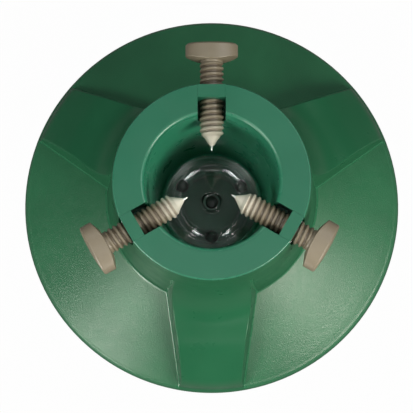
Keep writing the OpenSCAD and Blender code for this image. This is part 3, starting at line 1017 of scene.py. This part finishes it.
def screw_handle(name):
    """The handle: a crowned outer face with a chamfer round it, and a coned inner face."""
    angles = round_angles(handle_columns)
    outline = oval(angles)
    chamfer, step, inner_r, core_r = 1.5, 0.35, 1.0, bolt_r - 0.8
    rings = []

    def ring(radius, z):
        rings.append(ring_of(angles, radius, z))

    def cone(radius):
        share = np.clip((radius - handle_half) / (handle_r - handle_half), 0.0, 1.0)
        return handle_base + handle_cone * share

    for radius in (6.0, core_r):
        ring(radius, handle_base)
    start = outline - inner_r
    for share in np.linspace(0.12, 1.0, 12):
        radius = core_r + share * (start - core_r)
        ring(radius, cone(radius))
    for t in np.linspace(0.0, math.pi / 2, 7)[1:]:
        ring(start + inner_r * math.sin(t), cone(start) + inner_r * (1 - math.cos(t)))
    bottom = cone(outline) + inner_r
    flank_top = handle_top - chamfer
    for share in (0.3, 0.7, 0.97):
        ring(outline, bottom + share * (flank_top - bottom))
    ring(outline - 0.1, flank_top + 0.1)
    ring(outline - chamfer, handle_top - 0.1)
    ring(outline - chamfer - 0.1, handle_top)
    crowned = outline - chamfer - step
    for share in (1.0, 0.94, 0.85, 0.7, 0.5, 0.3, 0.1):
        ring(crowned * share, handle_top + (handle_crown - 0.02) * (1 - share ** 2))
    return capped(name, np.stack(rings))


# %% Put a screw together and stand it in the collar
tip_radii = (35.6, 30.1, 24.6)
point_r, point_len = 1.5, 16.8
point_path = chain([(0, 0.0)], bend((0.25, 0.0), (0.5, 0.15), (0.7, 1.1), 5),
                   [(point_r, 4.4), (point_r, point_len), (0, point_len)])


def to_bolt(piece, number):
    """Lays a piece that is drawn along +Z onto the axis of one screw."""
    piece.data.transform(Matrix.Rotation(math.pi / 2, 4, "Y"))
    piece.data.transform(Matrix.Translation((tip_radii[number] * MM, 0, bolt_z * MM)))
    return turn_about_z(piece, bolt_angles[number])


def mark(piece, name, values):
    """Gives each point of a piece a number that its material reads."""
    piece.data.attributes.new(name, "FLOAT", "POINT").data.foreach_set("value", values)


for number in range(3):
    screw = screw_shaft(f"clamp_screw_{number + 1}")
    combine(screw, screw_handle("handle"), "UNION")
    x, y, z = np.array([vertex.co[:] for vertex in screw.data.vertices]).T / MM
    mark(screw, "along", z / bolt_len)
    # The number that paints shade into the thread's grooves.
    mark(screw, "thread_shading", 1 - thread_growth(z) * (1 - thread_height(z, np.arctan2(y, x))))
    screw.data.materials.append(screw_taupes[number])
    place(smooth(to_bolt(screw, number), 38.0), f"screw_{number + 1}", "clamp_screw",
          f"clamp_bolt_{number + 1}")
    point = turned(f"steel_point_{number + 1}", point_path, 32)
    point.data.materials.append(bright_steel)
    place(smooth(to_bolt(point, number)), f"point_{number + 1}", "steel",
          f"bolt_point_{number + 1}")

# %% [markdown]
# ## Turntable, balls and pivot
#
# The turntable is clear, so both of its faces matter: the low bead over the balls, the wide rim and
# the dish round the pin catch the lamps, and the flat face between them stays plain. The balls are
# dark spheres in their cage.

# %% The clear turntable
ball_r, ball_z = 7.5, 14.0
table_z, table_t, bead_half, bead_h = ball_z + ball_r + 0.15, 3.5, 4.4, 1.0
table_top = table_z + table_t
bead_top = table_top + bead_h
dish_r, hub_r, hub_low, hub_top, hub_hole = 10.7, 13.2, 12.0, table_top - 5.0, 4.05
rim_w, rim_round = 8.5, 0.9
bead_curve = (bead_half ** 2 + bead_h ** 2) / (2 * bead_h)
bead_turn = math.asin(bead_half / bead_curve)
bead = [(race_r + bead_curve * math.sin(t), bead_top - bead_curve * (1 - math.cos(t)))
        for t in np.linspace(bead_turn, -bead_turn, 28)]
rim_in = table_r - rim_w
table_path = chain(
    [(hub_hole, hub_low), (hub_r - 0.3, hub_low), (hub_r, hub_low + 0.3), (hub_r, table_z)],
    [(table_r - 0.6, table_z)],
    bend((table_r, table_z + 0.6), (table_r, bead_top), (table_r - rim_round, bead_top), 8),
    bend((rim_in + rim_round, bead_top), (rim_in, bead_top), (rim_in, bead_top - rim_round), 8),
    bend((rim_in, table_top + 0.1), (rim_in, table_top), (rim_in - 0.4, table_top), 4),
    bead,
    bend((dish_r + 1.6, table_top), (dish_r, table_top), (dish_r, table_top - 1.6), 8),
    bend((dish_r, hub_top + 1.0), (dish_r, hub_top), (dish_r - 1.0, hub_top), 6),
    [(hub_hole, hub_top)])
table = turned("clear_turntable", table_path, 192)
table.data.materials.append(clear_styrene)
place(smooth(table), "turntable", "clear_plate", "turntable")

# %% Balls, and finishes for the frame's own small parts
arc = [(ball_r * math.sin(t), ball_z - ball_r * math.cos(t)) for t in np.linspace(0.0, math.pi, 33)]
arc[0], arc[-1] = (0.0, ball_z - ball_r), (0.0, ball_z + ball_r)
for number, angle in enumerate(rib_angles, 1):
    ball = turned(f"ball_{number}_bead", np.array(arc), 48)
    ball.data.transform(Matrix.Translation((race_r * MM, 0, 0)))
    ball.data.materials.append(dark_trim)
    place(smooth(turn_about_z(ball, angle), 60.0), f"ball_{number}", "dark_trim",
          f"bearing_ball_{number}")

finishes = {"ball_cage": clear_styrene, "pivot_pin": dark_trim, "pivot_washer": clear_styrene}
finishes.update({f"collar_screw_{n}": bright_steel for n in range(1, 7)})
for node, finish in finishes.items():
    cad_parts[node].data.materials.clear()
    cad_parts[node].data.materials.append(finish)
print("small parts", sorted(finishes))

# %% [markdown]
# ## Floor
#
# The floor is plain paper. To the camera it is nearly white, so only a trace of the stand's
# shadow shows on it. What it throws back onto the stand is its own grey.

# %% A pale floor
floor_half = 4000.0
floor = block("floor", (-floor_half, -floor_half, -20.0), (floor_half, floor_half, 0.0))
paper, paper_shader, paper_tree = new_material("paper", (0.22, 0.22, 0.22), 0.9)
glow = paper_tree.nodes.new("ShaderNodeEmission")
glow.inputs["Color"].default_value = (*WHITE, 1)
glow.inputs["Strength"].default_value = 1.0
white_to_camera(paper_tree, paper_shader.outputs["BSDF"], glow.outputs["Emission"],
                paper_tree.nodes["Material Output"], white_level)
floor.data.materials.append(paper)
